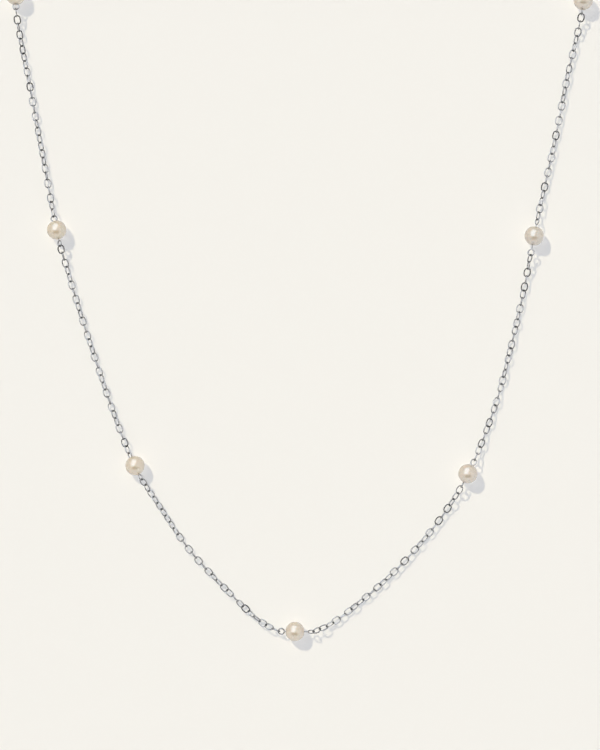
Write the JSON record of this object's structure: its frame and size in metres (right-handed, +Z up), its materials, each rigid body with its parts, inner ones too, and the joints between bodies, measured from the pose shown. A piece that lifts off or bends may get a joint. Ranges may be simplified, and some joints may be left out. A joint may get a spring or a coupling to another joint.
{
  "type": "station necklace",
  "caption": "Fine oval-link cable chain necklace with round cream pearls pinned into it at even spaces, closed by a ring clasp, lying flat in a loop.",
  "frame": {"origin": "middle of the necklace's outline on the surface it lies on", "axes": "+Z up from the surface, +Y from the bottom pearl towards the clasp, +X to the right as seen from above"},
  "size_m": [0.1209, 0.1779, 0.004],
  "materials": {
    "pearl": "lustrous cream nacre with pink and green overtones",
    "metal": "polished white metal, fine wear"
  },
  "bodies": {
    "root": {"pearl_1": "pearl", "pearl_2": "pearl", "pearl_3": "pearl", "pearl_4": "pearl", "pearl_5": "pearl", "pearl_6": "pearl", "pearl_7": "pearl", "pearl_8": "pearl", "pearl_9": "pearl", "pin_1": "metal", "pin_2": "metal", "pin_3": "metal", "pin_4": "metal", "pin_5": "metal", "pin_6": "metal", "pin_7": "metal", "pin_8": "metal", "pin_9": "metal", "chain_1": "metal", "chain_2": "metal", "chain_3": "metal", "chain_4": "metal", "chain_5": "metal", "chain_6": "metal", "chain_7": "metal", "chain_8": "metal", "chain_9": "metal", "chain_10": "metal", "clasp": "metal", "end_ring": "metal"}
  },
  "joints": []
}
